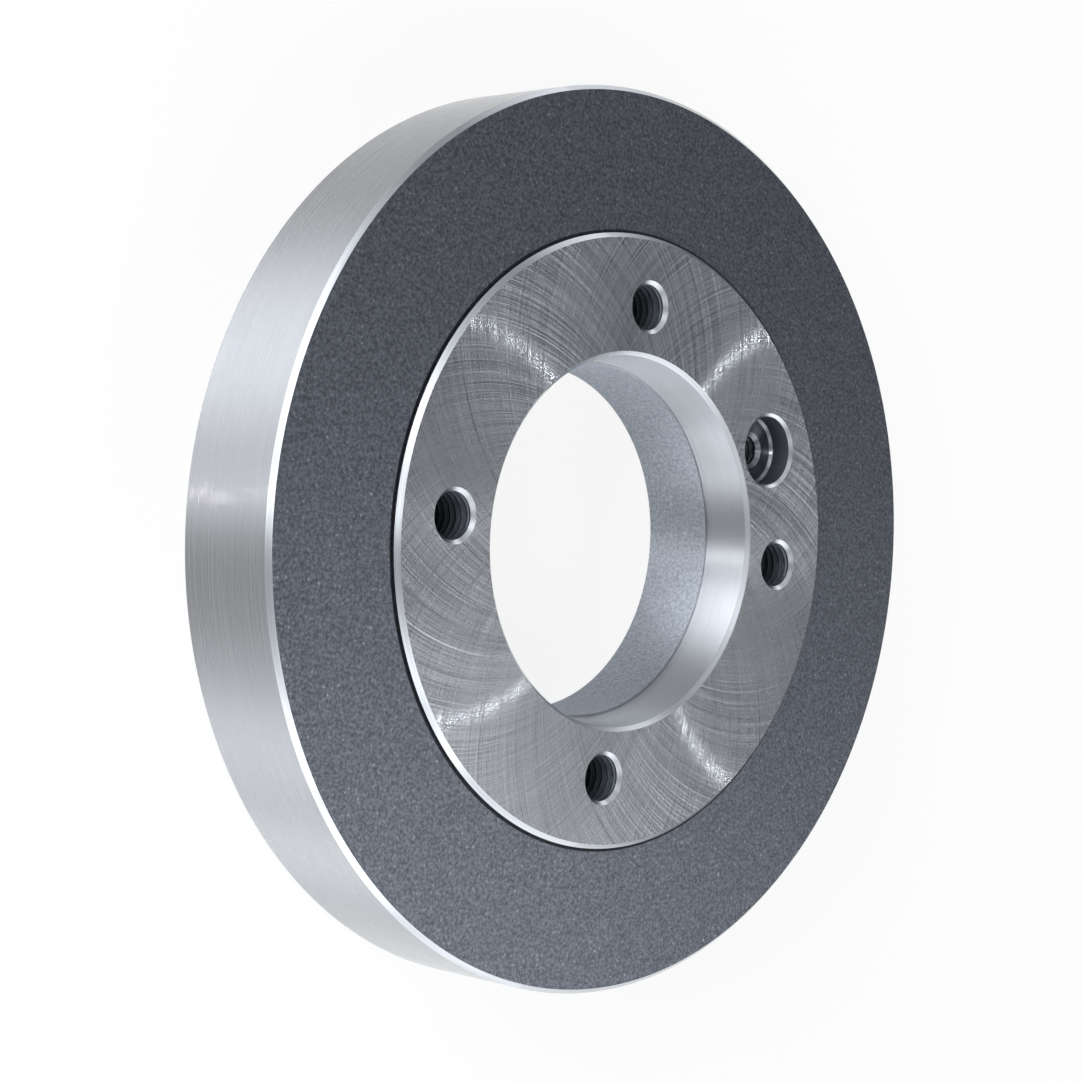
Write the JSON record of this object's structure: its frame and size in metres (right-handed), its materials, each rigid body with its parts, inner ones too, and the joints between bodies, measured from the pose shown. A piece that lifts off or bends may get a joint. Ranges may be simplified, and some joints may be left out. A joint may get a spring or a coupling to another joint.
{
  "type": "chuck adapter plate",
  "caption": "Thick cast disc with a turned rim, a raised face with threaded holes and a drive socket, and a short taper running into a rough bore.",
  "frame": {"origin": "centre of the flat chuck-side face, on the spindle axis", "axes": "+Z along the spindle axis, from the chuck-side face towards the raised spindle-side face; +X runs through one stud hole"},
  "size_m": [0.2, 0.2, 0.03],
  "materials": {
    "adapter_plate": "satin"
  },
  "bodies": {
    "root": {"adapter_plate": "adapter_plate"}
  },
  "joints": []
}
